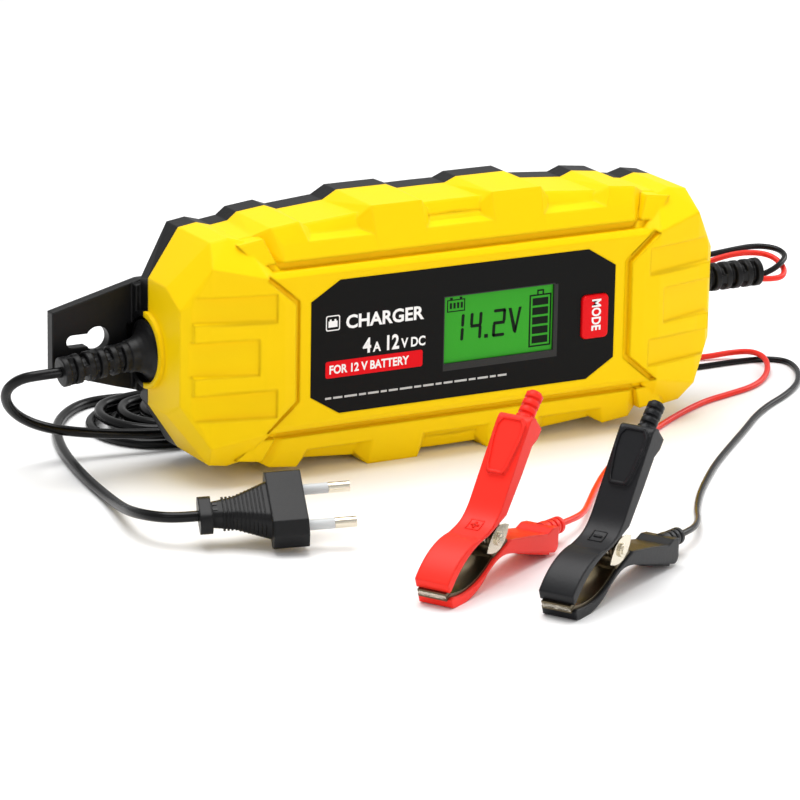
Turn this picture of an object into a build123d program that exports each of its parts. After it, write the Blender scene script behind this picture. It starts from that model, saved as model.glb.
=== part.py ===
from build123d import *

import os
from math import cos, pi, radians, sin, tan

# Car battery charger: a yellow front shell and a black rear shell around two circuit boards, with a
# mains cord and plug on the left and two clamp leads on the right.  Millimetres, +Z up, the label
# faces -Y and +X is the label's right.  The origin is the middle of the footprint, on the surface
# that the charger stands on.

# ---------------------------------------------------------------- driving dimensions
MID_HEIGHT = 51.67      # half the height at the middle of the arched top
CROWN_RADIUS = 660.0    # of the arch of the top and bottom
FOOT_HEIGHT = 51.14     # from mid-height down to the flat ridges that it stands on
HALF_LENGTH = 117.1     # to the flat end faces
FRONT = -2.2            # the most forward face, the ribs of the end caps
SPLIT = 37.5            # depth of the joint between the shells, behind the label's face
BACK = 52.0             # depth of the flat back
WALL = 2.6
STEP = 2.5              # height of the raised ridges over the steps between them
TAB_REACH = 152.2       # the hanging tab's outer edge, from the housing's middle
DC_REACH = 158.0        # the tip of the clamp leads' gland, from the housing's middle
MID_X = (TAB_REACH - DC_REACH) / 2
MID_Y = -(FRONT + BACK) / 2
GAP = 0.3               # clearance between pieces that move past each other

LABEL_HALF = (67.0, 26.25)
LABEL_CORNER = (54.65, 18.7)
LABEL_THICK = 0.5
LCD_WINDOW = (-9.7, 39.7, -12.9, 14.4)      # left, right, bottom, top
BUTTON_MID = (57.7, -1.0)
BUTTON_SIZE = (11.9, 17.5)
BUTTON_TRAVEL = 0.8
BUTTON_PROUD = 1.3

MAINS_CORD_D = 4.0
DC_LEAD_D = 2.4

# a ridge's top, and where its sides end: low at the back, and on the ledge and front of its rail
MIDDLE_RIDGE = {"top": (15.5, 37.2), "low": (10.1, 43.6), "ledge": (9.0, 44.4), "front": (14.8, 36.6)}
OUTER_RIDGE = {"top": (68.2, 80.0), "low": (62.5, 84.2), "ledge": (60.6, 86.0), "front": (65.6, 76.8)}
RIDGE_FRONT = 8.6           # depth of a ridge's front edge
LOW_FRONT = 12.7            # depth of the low blocks' front edge
RAIL = [(3.0, 34.4), (5.3, 40.8), (LOW_FRONT, 43.5)]    # depth and height of the rail's corners
RAIL_HALF = 76.5
GROOVE_LOW = 31.3           # the panel's edge, under the groove below the rail
GROOVE_DEPTH = 6.0
RIB_MID = 10.4              # of the two ribs on each cap

TAB_THICK = 4.5
REAR_FLAT = 47.5            # depth where the rear shell starts to slope in to the back
KEYHOLE_MID = (-133.5, 0.5)
KEYHOLE_R = 4.9
KEYHOLE_SLOT = 5.0
KEYHOLE_RUN = 10.4

GLAND_SEAT_R = 15.0         # the yellow and black collar round each gland
GLAND_FLANGE_R = 12.8
GLAND_BODY_R = 5.8
COLLAR_OUT = 2.0
MAINS_GLAND_DROOP = 6.0     # degrees below level
GLAND_Z = -3.0              # both glands sit a little under mid-height
MAINS_REACH = 153.4
RING_PITCH = 5.0
RING_THICK = 2.7
RING_COUNT = 6

SCREW_SPOTS = [(-88, 33), (88, 33), (-88, -33), (88, -33)]
BOSS_R = 4.2
BOARD_DEPTH = BACK - 10.6   # the main board's front face
BOARD_POSTS = [(-84, 20), (84, 20), (-84, -20), (84, -20)]

PLUG_TAIL = (-143.3, -78.8, 11.4)   # where the cord enters the plug
PLUG_TURN = 20.0            # degrees towards the front from +X
PLUG_TILT = 28.0            # degrees that the plug's wide side is rolled up
PLUG_PITCH = 3.0            # degrees that the pins point up
PLUG_BLOCK = 25.5           # from the tail to where the taper meets the block
PLUG_BODY = 38.5            # from the tail to the face that the pins stand on
PIN_PITCH = 18.0
PIN_D = 4.0
PIN_SLEEVE = 10.0           # the covered length of each pin
PIN_LENGTH = 18.0

CLAMP_HEADING = 30.0        # degrees from +X that the handles point
CLAMP_AXIS = 20.0           # degrees that the line from nose to pivot rises
CLAMP_NOSES = {"red": (-100.0, -176.0), "black": (-67.5, -206.0)}
NOSE_HEIGHT = 5.0           # of the line where the teeth meet
PIVOT = 36.0                # from the nose along that line
CLAMP_WIDE = 13.5
JAW_WIDE = 11.5
SHEET = 1.0                 # thickness of the jaws' sheet metal
PIN_R = 1.5
EAR_R = 4.1
BOOT_ANGLE = 24.0           # degrees that a handle's cable boot turns out
BOOT_R = 3.4
BOOT_LONG = 13.0
LOWER_EAR = 5.2             # from the middle of a clamp to the inside of the jaws' ears
UPPER_EAR = 3.9
PIN_HALF = 6.4

os.makedirs("parts", exist_ok=True)


# ---------------------------------------------------------------- helpers
def at(x, y, z):
    """A point given from the housing's middle, at a depth y behind the label's face."""
    return (MID_X + x, MID_Y + y, FOOT_HEIGHT + z)


def face_at(depth):
    """A plane facing the front at a depth behind the label: extrude(amount=-t) goes deeper by t."""
    return Plane(origin=at(0, depth, 0), x_dir=(1, 0, 0), z_dir=(0, -1, 0))


def crown(x):
    """Half the housing's height at x, over the ridges."""
    return MID_HEIGHT - x * x / (2 * CROWN_RADIUS)


def ridge_height(x, top):
    """Half the height over a ridge: level on the middle ridges, in line with the arch on the outer."""
    mid = (top[0] + top[1]) / 2
    level = top == MIDDLE_RIDGE["top"]
    return FOOT_HEIGHT if level else crown(mid) - (x - mid) * mid / CROWN_RADIUS


def mirrored(points):
    """The points and their mirror images about the housing's mid-height."""
    return [at(x, y, z * up) for x, y, z in points for up in (1, -1)]


def octagon(half, corner):
    """A rectangle with cut corners, all round."""
    (hx, hz), (cx, cz) = half, corner
    quarter = [(cx, hz), (hx, cz)]
    right = quarter + [(x, -z) for x, z in reversed(quarter)]
    return right + [(-x, -z) for x, z in right]


def grown(half, corner, by):
    """The same octagon with every side moved out."""
    (hx, hz), (cx, cz) = half, corner
    side = by * 0.41
    return octagon((hx + by, hz + by), (cx + side, cz + side))


def save(piece, name):
    piece.part.label = name
    export_step(piece.part, f"parts/{name}.step")


def route_path(points, floor_r):
    """A cord's centre line: straight runs joined by arcs as large as the runs allow."""
    steps = [Vector(b) - Vector(a) for a, b in zip(points, points[1:])]
    radii = []
    for before, after in zip(steps, steps[1:]):
        half_turn = radians(before.get_angle(after)) / 2
        radii.append(0.45 * min(before.length, after.length) / tan(half_turn))
    lowest = min(z for _, _, z in points)
    print("  smallest radius", round(min(radii), 1), "lowest point over floor", round(lowest - floor_r, 2))
    return FilletPolyline(*points, radius=radii)


def cord_tube(name, points, diameter):
    """A plain tube along a route, closed at both ends."""
    print(name)
    with BuildPart() as tube:
        with BuildLine() as line:
            route_path(points, diameter / 2)
        path = line.wire()
        with BuildSketch(Plane(origin=path @ 0, z_dir=path % 0)):
            Circle(diameter / 2)
        sweep(path=path)
    ideal = pi * diameter**2 / 4 * path.length
    print("  length", round(path.length, 1), "volume over section x length",
          round(tube.part.volume / ideal, 4))
    save(tube, name)


# ---------------------------------------------------------------- housing shells
CAP_FRONT = [(72.4, -1.2, 19.7), (79.0, FRONT, 19.7), (86.2, -2.0, 30.2), (79.0, FRONT, 0)]
CAP_CORNER = [(107.0, 3.1, 34.9), (113.5, 6.2, 20.6), (117.1, 9.7, 18.5), (117.1, 22.0, 24.75)]
CAP_TOP = [(97.0, 10.5), (104.6, 10.5)]


def block_solid():
    """The low body between the end caps, without its rails and ridges."""
    points = []
    for x in (0, 10, 43, 62, 84, 92):
        low = crown(x) - STEP
        for s in (x, -x):
            points += [(s, 4.2, GROOVE_LOW), (s, LOW_FRONT, 43.0), (s, LOW_FRONT, low), (s, SPLIT, low)]
    ConvexPolyhedron(mirrored(points))


def low_band(flip):
    """The narrow block between the outer ridge and the end cap, which reaches the front."""
    points = []
    for x, foot_x in ((84.0, 80.0), (95.0, 87.0)):
        low = crown(x) - STEP
        points += [(x, 6.4, low - 0.3), (x, SPLIT, low), (foot_x, 3.4, 34.2), (foot_x, SPLIT, 34.2)]
    for up in (1, -1):
        ConvexPolyhedron([at(flip * x, y, up * z) for x, y, z in points])


def rail_solid():
    """The level bars that run along the front, over and under the panel."""
    for up in (1, -1):
        bar = [(x, y, up * z) for x in (-RAIL_HALF, RAIL_HALF) for y, z in RAIL]
        bar += [(x, SPLIT / 2, up * z) for x in (-RAIL_HALF, RAIL_HALF) for z in (RAIL[0][1], RAIL[2][1])]
        ConvexPolyhedron([at(*point) for point in bar])


def ridge_solid(ridge, flip):
    """One raised ridge, whose front runs down into the rail's front."""
    points = []
    for top, low_x, ledge_x, front_x in zip(*(ridge[key] for key in ("top", "low", "ledge", "front"))):
        high = ridge_height(top, ridge["top"])
        low = crown(low_x) - STEP - 0.2
        points += [(top, RIDGE_FRONT, high), (top, SPLIT, high), (low_x, SPLIT, low)]
        points += [(ledge_x, LOW_FRONT, RAIL[2][1]), (front_x, *RAIL[1]), (front_x, *RAIL[0])]
        points += [(low_x, SPLIT, RAIL[0][1]), (ledge_x, LOW_FRONT, RAIL[0][1])]
    for up in (1, -1):
        ConvexPolyhedron([at(flip * x, y, up * z) for x, y, z in points])


def cap_solid(flip):
    """An end cap: a faceted block with a sloping front."""
    points = list(CAP_FRONT) + list(CAP_CORNER)
    points += [(x, y, crown(x)) for x, y in CAP_TOP]
    points += [(x, SPLIT, crown(x)) for x, _ in CAP_TOP]
    points += [(91.0, 9.0, crown(91.0) - STEP), (91.0, SPLIT, crown(91.0) - STEP)]
    points += [(72.4, SPLIT, 24.0), (117.1, SPLIT, 24.75), (83.0, 3.5, 33.0)]
    ConvexPolyhedron(mirrored([(flip * x, y, z) for x, y, z in points]))


def cap_ribs(flip):
    """Two level ribs on each cap that keep to the front as the cap slopes back."""
    for mid in (RIB_MID, -RIB_MID):
        rib = []
        for x, proud in ((80.0, -1.9), (113.6, 4.5)):
            rib += [(x, proud, mid + 3.3), (x, proud, mid - 3.3), (x, 9.0, mid + 4.6), (x, 9.0, mid - 4.6)]
        ConvexPolyhedron([at(flip * x, y, z) for x, y, z in rib])


def cavity_outline(inset):
    """The inside of the housing, seen from the front."""
    half = [(x, crown(x) - STEP - WALL - inset) for x in (0, 40, 75, 96)]
    half += [(104.0, 33.0 - inset), (114.3 - inset, 20.0)]
    right = half + [(x, -z) for x, z in reversed(half)]
    left = [(-x, z) for x, z in reversed(right)]
    return right + left[1:-1]


def end_plane(side, x):
    """A plane facing an end, at x from the middle; its local x is the depth behind SPLIT."""
    return Plane(origin=at(side * x, SPLIT, GLAND_Z), x_dir=(0, 1, 0), z_dir=(side, 0, 0))


def end_collar(side, behind):
    """Half of the round collar at an end: behind is 1 for the rear shell's half, -1 for the front's."""
    with BuildSketch(end_plane(side, HALF_LENGTH - 3)) as half:
        Circle(GLAND_SEAT_R)
        with Locations((-behind * GLAND_SEAT_R, 0)):
            Rectangle(2 * GLAND_SEAT_R, 2 * GLAND_SEAT_R, mode=Mode.SUBTRACT)
        with Locations((BACK - SPLIT - 0.8 + GLAND_SEAT_R, 0)):
            Rectangle(2 * GLAND_SEAT_R, 2 * GLAND_SEAT_R, mode=Mode.SUBTRACT)
    return half.sketch


def end_bore(side):
    """The round seat that holds a gland."""
    with BuildSketch(end_plane(side, HALF_LENGTH - 12)) as bore:
        Circle(GLAND_FLANGE_R + 0.15)
    return bore.sketch


def front_shell():
    """Yellow front shell."""
    with BuildPart() as shell:
        block_solid()
        rail_solid()
        for flip in (1, -1):
            low_band(flip)
            ridge_solid(MIDDLE_RIDGE, flip)
            ridge_solid(OUTER_RIDGE, flip)
            cap_solid(flip)
        # the panel that frames the label, with sloping edges, and the grooves that undercut the rails
        with BuildSketch(face_at(8.0)):
            Polygon(*octagon((84.0, GROOVE_LOW), (84.0, 31.0)), align=None)
        extrude(amount=8.0 - 1.6)
        with BuildSketch(face_at(1.6)):
            Polygon(*octagon((84.0, GROOVE_LOW), (84.0, 31.0)), align=None)
        with BuildSketch(face_at(0)):
            Polygon(*octagon((83.0, GROOVE_LOW - 2.2), (83.0, 29.0)), align=None)
        loft()
        for up in (1, -1):
            groove = []
            for flip in (1, -1):
                for y in (-6.0, GROOVE_DEPTH):
                    groove += [(flip * 80.6, y, up * RAIL[0][1]), (flip * 77.6, y, up * GROOVE_LOW)]
            ConvexPolyhedron([at(*point) for point in groove], mode=Mode.SUBTRACT)
        # the V-groove between the panel and each cap
        for flip in (1, -1):
            with BuildSketch(face_at(1.4)):
                Polygon(*[(flip * x, z) for x, z in [
                    (71.6, -19.7), (71.6, 19.7), (84.6, 30.6), (86.4, 29.6), (73.9, 18.9),
                    (73.9, -18.9), (86.4, -29.6), (84.6, -30.6)]], align=None)
            extrude(amount=8, mode=Mode.SUBTRACT)
            # the cap's front falls away between the ribs, and outside them
            for x_in, sink, z_in, z_out in ((89.0, 0.9, -7.0, 7.0), (82.0, 0.0, 13.0, 24.0),
                                            (82.0, 0.0, -24.0, -13.0)):
                cut = []
                for x, y in ((x_in, -1.2 + sink), (118.0, 7.6 + sink)):
                    cut += [(x, y, z_out), (x, y, z_in), (x, -6.0, z_out), (x, -6.0, z_in)]
                ConvexPolyhedron([at(flip * x, y, z) for x, y, z in cut], mode=Mode.SUBTRACT)
            cap_ribs(flip)
        for side in (1, -1):
            extrude(end_collar(side, -1), amount=3 + COLLAR_OUT)
        # hollow inside
        with BuildSketch(face_at(10.5)):
            Polygon(*cavity_outline(2.0), align=None)
        extrude(amount=-(SPLIT - 10.5), mode=Mode.SUBTRACT)
        with BuildSketch(face_at(2.6)):
            Polygon(*octagon((69.0, 28.6), (58.0, 20.0)), align=None)
        extrude(amount=-8, mode=Mode.SUBTRACT)
        # screw bosses run from the front wall to the split
        with BuildSketch(face_at(6.5)):
            with Locations(*SCREW_SPOTS):
                Circle(BOSS_R)
        extrude(amount=-(SPLIT - 6.5))
        with BuildSketch(face_at(20.0)):
            with Locations(*SCREW_SPOTS):
                Circle(1.4)
        extrude(amount=-20, mode=Mode.SUBTRACT)
        for side in (1, -1):
            extrude(end_bore(side), amount=14 + COLLAR_OUT, mode=Mode.SUBTRACT)
        # recess for the label, and the openings behind it
        with BuildSketch(face_at(LABEL_THICK)):
            Polygon(*octagon(LABEL_HALF, LABEL_CORNER), align=None)
        extrude(amount=5, mode=Mode.SUBTRACT)
        left, right, bottom, top = LCD_WINDOW
        with BuildSketch(face_at(6.0)):
            with Locations(((left + right) / 2, (bottom + top) / 2)):
                Rectangle(right - left, top - bottom)
            with Locations(BUTTON_MID):
                RectangleRounded(BUTTON_SIZE[0] + 2 * GAP, BUTTON_SIZE[1] + 2 * GAP, 2.3)
        extrude(amount=10, mode=Mode.SUBTRACT)
    save(shell, "front_shell")
    return shell


def rear_outline_points(x, high):
    """A rear station: full height to REAR_FLAT, then sloping in to the back."""
    return [(x, SPLIT, high), (x, REAR_FLAT, high), (x * 0.965, BACK, high - 6.5)]


def rear_shell():
    """Black rear shell with the hanging tab."""
    with BuildPart() as shell:
        low = []
        for x in (0, 10, 43, 62, 84, 92):
            for s in (x, -x):
                low += rear_outline_points(s, crown(x) - STEP)
        ConvexPolyhedron(mirrored(low))
        for flip in (1, -1):
            for ridge in (MIDDLE_RIDGE, OUTER_RIDGE):
                points = []
                for x, base in zip(ridge["top"], ridge["low"]):
                    high = ridge_height(x, ridge["top"])
                    foot = crown(base) - STEP - 0.2
                    points += [(x, SPLIT, high), (x, REAR_FLAT, high), (x, 50.5, high - 4.5)]
                    points += [(base, SPLIT, foot), (base, REAR_FLAT, foot), (base, 49, foot - 2.2)]
                for up in (1, -1):
                    ConvexPolyhedron([at(flip * x, y, up * z) for x, y, z in points])
            end = []
            for x in (97.0, 104.6):
                end += rear_outline_points(x, crown(x))
            end += [(91.0, SPLIT, crown(91.0) - STEP), (91.0, REAR_FLAT, crown(91.0) - STEP)]
            end += [(117.1, SPLIT, 24.75), (117.1, 44.0, 23.5), (110.5, BACK, 20.0)]
            end += [(72.0, SPLIT, 24.0), (72.0, BACK, 24.0)]
            ConvexPolyhedron(mirrored([(flip * x, y, z) for x, y, z in end]))
        for side in (1, -1):
            extrude(end_collar(side, 1), amount=3 + COLLAR_OUT)
        # hollow inside, then the bosses
        with BuildSketch(face_at(SPLIT)):
            Polygon(*cavity_outline(2.0), align=None)
        extrude(amount=-9.0, mode=Mode.SUBTRACT)
        with BuildSketch(face_at(SPLIT)):
            Polygon(*cavity_outline(7.0), align=None)
        extrude(amount=-(BACK - WALL - SPLIT), mode=Mode.SUBTRACT)
        with BuildSketch(face_at(SPLIT)):
            with Locations(*SCREW_SPOTS):
                Circle(BOSS_R)
        extrude(amount=-(BACK - SPLIT - 1))
        with BuildSketch(face_at(BACK - 9)):
            with Locations(*BOARD_POSTS):
                Circle(3.0)
        extrude(amount=-(9 - WALL / 2))
        with BuildSketch(face_at(BACK - 9)):
            with Locations(*BOARD_POSTS):
                Circle(0.9)
        extrude(amount=-6, mode=Mode.SUBTRACT)
        # screws come in from the back
        with BuildSketch(face_at(SPLIT)):
            with Locations(*SCREW_SPOTS):
                Circle(1.8)
        extrude(amount=-30, mode=Mode.SUBTRACT)
        with BuildSketch(face_at(BACK - 7.2)):
            with Locations(*SCREW_SPOTS):
                Circle(3.2)
        extrude(amount=-20, mode=Mode.SUBTRACT)
        # the hanging tab on the left, with its keyhole
        with BuildSketch(face_at(BACK - TAB_THICK)):
            Polygon((-TAB_REACH, 12.6), (-116.0, 21.8), (-104.0, 21.8), (-104.0, -27.0), (-110.5, -25.5),
                    (-117.5, -21.6), (-126.0, -19.2), (-TAB_REACH, -11.0), align=None)
        extrude(amount=-TAB_THICK)
        with BuildSketch(face_at(BACK - 8.0)):
            Polygon((-119.0, 20.5), (-112.0, 21.8), (-112.0, -24.5), (-119.0, -20.5), align=None)
        extrude(amount=-6.0)
        with BuildSketch(face_at(BACK - 20)):
            with Locations(KEYHOLE_MID):
                Circle(KEYHOLE_R)
            with Locations((KEYHOLE_MID[0] - KEYHOLE_RUN / 2, KEYHOLE_MID[1])):
                SlotCenterToCenter(KEYHOLE_RUN, KEYHOLE_SLOT)
        extrude(amount=-30, mode=Mode.SUBTRACT)
        for side in (1, -1):
            extrude(end_bore(side), amount=14 + COLLAR_OUT, mode=Mode.SUBTRACT)
    save(shell, "rear_shell")
    return shell


def shell_seal():
    """Soft ring inside the joint between the shells, lying against both walls."""
    with BuildPart() as seal:
        with BuildSketch(face_at(SPLIT - 1.0)):
            Polygon(*cavity_outline(2.1), align=None)
            Polygon(*cavity_outline(3.3), align=None, mode=Mode.SUBTRACT)
            for side in (1, -1):
                with Locations((side * 110, 0)):
                    Rectangle(30, 44, mode=Mode.SUBTRACT)
        extrude(amount=-2.0)
    save(seal, "shell_seal")


# ---------------------------------------------------------------- label, display and button
def display_label():
    """Black front label: clear over the display, cut out round the button."""
    left, right, bottom, top = LCD_WINDOW
    with BuildPart() as label:
        with BuildSketch(face_at(LABEL_THICK)):
            Polygon(*grown(LABEL_HALF, LABEL_CORNER, -0.1), align=None)
            with Locations(((left + right) / 2, (bottom + top) / 2)):
                Rectangle(right - left, top - bottom, mode=Mode.SUBTRACT)
            with Locations(BUTTON_MID):
                RectangleRounded(BUTTON_SIZE[0] + 2 * GAP, BUTTON_SIZE[1] + 2 * GAP, 2.3,
                                 mode=Mode.SUBTRACT)
        extrude(amount=LABEL_THICK + 0.1)
    save(label, "display_label")


def window_stack():
    """Everything behind the window: clear lens, display glass and its light panel."""
    left, right, bottom, top = LCD_WINDOW
    mid = ((left + right) / 2, (bottom + top) / 2)
    layers = [("display_lens", 1.0, 1.2, -0.4, -0.4), ("display_glass", 2.9, 2.2, 4.0, 4.0),
              ("display_backlight", 5.2, 3.0, 3.0, 3.0)]
    for name, depth, thick, more_x, more_z in layers:
        with BuildPart() as layer:
            with BuildSketch(face_at(depth)):
                with Locations(mid):
                    Rectangle(right - left + more_x, top - bottom + more_z)
            extrude(amount=-thick)
        save(layer, name)


def display_board():
    """Small board behind the display, which also carries the button's switch."""
    with BuildPart() as board:
        with BuildSketch(face_at(8.3)):
            with Locations((21.0, 0)):
                Rectangle(88.0, 42.0)
            with Locations((-19.0, 17.0), (-19.0, -17.0), (61.0, 17.0), (61.0, -17.0)):
                Circle(1.6, mode=Mode.SUBTRACT)
        extrude(amount=-1.6)
    save(board, "display_board")
    with BuildPart() as switch:
        with BuildSketch(face_at(8.3)):
            with Locations(BUTTON_MID):
                Rectangle(6.0, 6.0)
        extrude(amount=1.8)
    save(switch, "mode_switch")
    with BuildPart() as header:
        with BuildSketch(face_at(9.95)):
            with Locations((-10.0, -16.0)):
                Rectangle(20.0, 5.0)
        extrude(amount=-19.0)
    save(header, "board_header")


def mode_button():
    """Push button, with a flange that keeps it behind the label, and the switch's plunger."""
    with BuildPart() as button:
        with BuildSketch(face_at(3.4)):
            with Locations(BUTTON_MID):
                RectangleRounded(*BUTTON_SIZE, 2.0)
        extrude(amount=3.4 + BUTTON_PROUD)
        front = button.faces().sort_by(Axis.Y)[0]
        fillet(front.edges(), 0.7)
        with BuildSketch(face_at(3.4)):
            with Locations(BUTTON_MID):
                Rectangle(2.4, 2.4)
        extrude(amount=-1.2)
        with BuildSketch(face_at(3.4)):
            with Locations(BUTTON_MID):
                RectangleRounded(BUTTON_SIZE[0] + 2.4, BUTTON_SIZE[1] + 2.4, 2.4)
        extrude(amount=0.7)
    save(button, "mode_button")
    with BuildPart() as plunger:
        with BuildSketch(face_at(4.6)):
            with Locations(BUTTON_MID):
                Circle(1.6)
        extrude(amount=-0.8)
    save(plunger, "switch_plunger")


# ---------------------------------------------------------------- electronics
def main_board():
    with BuildPart() as board:
        with BuildSketch(face_at(BOARD_DEPTH)):
            Rectangle(180.0, 56.0)
            with Locations(*BOARD_POSTS):
                Circle(1.3, mode=Mode.SUBTRACT)
        extrude(amount=-1.6)
    save(board, "main_board")


def standing_block(name, mid, size, tall):
    """A boxed component that stands on the main board's front."""
    with BuildPart() as block:
        with BuildSketch(face_at(BOARD_DEPTH)):
            with Locations(mid):
                Rectangle(*size)
        extrude(amount=tall)
        chamfer(block.faces().sort_by(Axis.Y)[0].edges(), 0.6)
    save(block, name)


def standing_cans(name, spots, radius, tall):
    """Round cans that stand on the main board's front."""
    with BuildPart() as cans:
        with BuildSketch(face_at(BOARD_DEPTH)):
            with Locations(*spots):
                Circle(radius)
        extrude(amount=tall)
        fillet(cans.faces().group_by(Axis.Y)[0].edges(), 0.8)
    save(cans, name)


def transformer():
    """Ferrite core of two E halves round a wound bobbin."""
    mid = (-14.0, 2.0)
    with BuildPart() as winding:
        with BuildSketch(face_at(BOARD_DEPTH)):
            with Locations(mid):
                Rectangle(22.0, 30.0)
                Rectangle(8.2, 12.2, mode=Mode.SUBTRACT)
        extrude(amount=18.0)
    with BuildPart() as core:
        with BuildSketch(face_at(BOARD_DEPTH)):
            with Locations(mid):
                Rectangle(8.0, 12.0)
        extrude(amount=18.2)
        with BuildSketch(face_at(BOARD_DEPTH - 18.1)):
            with Locations(mid):
                Rectangle(32.0, 12.0)
        extrude(amount=5.0)
        with BuildSketch(face_at(BOARD_DEPTH)):
            with Locations((mid[0] - 13.6, mid[1]), (mid[0] + 13.6, mid[1])):
                Rectangle(4.8, 12.0)
        extrude(amount=19.0)
    save(winding, "transformer_winding")
    save(core, "transformer_core")


def heat_sink():
    """Comb-shaped aluminium heat sink with the power transistors against its side."""
    mid = (42.0, 18.0)
    with BuildPart() as sink:
        with BuildSketch(face_at(BOARD_DEPTH)):
            with Locations(mid):
                Rectangle(40.0, 3.0)
            for i in range(7):
                with Locations((mid[0] - 18.0 + 6.0 * i, mid[1] + 4.4)):
                    Rectangle(1.6, 6.0)
        extrude(amount=20.0)
    save(sink, "heat_sink")
    with BuildPart() as transistors:
        with BuildSketch(face_at(BOARD_DEPTH - 4)):
            with Locations((mid[0] - 10, mid[1] - 3.8), (mid[0] + 10, mid[1] - 3.8)):
                Rectangle(10.0, 4.5)
        extrude(amount=15.0)
        with BuildSketch(face_at(BOARD_DEPTH)):
            for x in (-12.5, -10, -7.5, 7.5, 10, 12.5):
                with Locations((mid[0] + x, mid[1] - 3.8)):
                    Rectangle(0.8, 0.6)
        extrude(amount=4.0)
    save(transistors, "power_transistors")


def filter_choke():
    """Wound ring on edge, near the mains end."""
    with BuildPart() as choke:
        with BuildSketch(face_at(BOARD_DEPTH - 0.1)):
            with Locations((-62.0, -10.0)):
                Circle(9.0)
                Circle(3.6, mode=Mode.SUBTRACT)
        extrude(amount=10.0)
    save(choke, "filter_choke")
    with BuildPart() as fuse:
        with BuildSketch(Plane(origin=at(-74.0, BOARD_DEPTH - 3.2, 14.0), z_dir=(1, 0, 0))):
            Circle(2.6)
        extrude(amount=20.0)
        with BuildSketch(Plane(origin=at(-74.0, BOARD_DEPTH - 3.2, 14.0), z_dir=(1, 0, 0))):
            Circle(3.1)
        extrude(amount=5.0)
        with BuildSketch(Plane(origin=at(-59.0, BOARD_DEPTH - 3.2, 14.0), z_dir=(1, 0, 0))):
            Circle(3.1)
        extrude(amount=5.0)
    save(fuse, "line_fuse")


def screws():
    """Four case screws from the back and four board screws from the front."""
    with BuildPart() as case:
        with BuildSketch(face_at(BACK - 7.2)):
            with Locations(*SCREW_SPOTS):
                Circle(3.0)
                RegularPolygon(1.3, 6, mode=Mode.SUBTRACT)
        extrude(amount=-2.2)
        with BuildSketch(face_at(BACK - 7.2)):
            with Locations(*SCREW_SPOTS):
                Circle(1.35)
        extrude(amount=22.0)
    save(case, "case_screws")
    with BuildPart() as board:
        with BuildSketch(face_at(BOARD_DEPTH)):
            with Locations(*BOARD_POSTS):
                Circle(2.4)
        extrude(amount=1.6)
        with BuildSketch(face_at(BOARD_DEPTH)):
            with Locations(*BOARD_POSTS):
                Circle(0.85)
        extrude(amount=-6.0)
    save(board, "board_screws")


# ---------------------------------------------------------------- glands and plug
def gland(name, side, droop, reach):
    """Moulded cable gland: flange, trumpet and slotted strain relief."""
    down = radians(droop)
    axis = Vector(side * cos(down), 0, -sin(down))
    root = Plane(origin=at(side * (HALF_LENGTH - 9), SPLIT, GLAND_Z), z_dir=axis)
    total = (reach - HALF_LENGTH) / cos(down) + 9
    ribs_from = total - RING_COUNT * RING_PITCH + (RING_PITCH - RING_THICK)
    with BuildPart() as piece:
        with BuildSketch(root):
            Circle(GLAND_FLANGE_R - 2.2)
        extrude(amount=6.5)
        with BuildSketch(root.offset(6.5)):
            Circle(GLAND_FLANGE_R - 0.6)
        with BuildSketch(root.offset(ribs_from - 7.0)):
            Circle(7.0)
        loft()
        with BuildSketch(root.offset(ribs_from - 7.0)):
            Circle(7.0)
        with BuildSketch(root.offset(ribs_from)):
            Circle(GLAND_BODY_R)
        loft()
        with BuildSketch(root.offset(ribs_from)):
            Circle(3.7)
        extrude(amount=total - ribs_from)
        for i in range(RING_COUNT):
            start = root.offset(ribs_from + i * RING_PITCH)
            with BuildSketch(start):
                Circle(GLAND_BODY_R)
            extrude(amount=RING_THICK)
            if i < RING_COUNT - 1:
                long_way = (10.6, 3.4) if i % 2 else (3.4, 10.6)
                with BuildSketch(start.offset(RING_THICK)):
                    Rectangle(*long_way)
                extrude(amount=RING_PITCH - RING_THICK)
    save(piece, name)
    return root.origin + axis * total


def plug_plane(along):
    """A plane across the plug, facing its pins; local x is across the two pins."""
    turn = radians(PLUG_TURN)
    tilt = radians(PLUG_TILT)
    pitch = radians(PLUG_PITCH)
    axis = Vector(cos(turn) * cos(pitch), -sin(turn) * cos(pitch), sin(pitch))
    level = Vector(sin(turn), cos(turn), 0)
    across = level * cos(tilt) + axis.cross(level) * sin(tilt)
    return Plane(origin=Vector(*PLUG_TAIL) + axis * along, x_dir=across, z_dir=axis)


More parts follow.
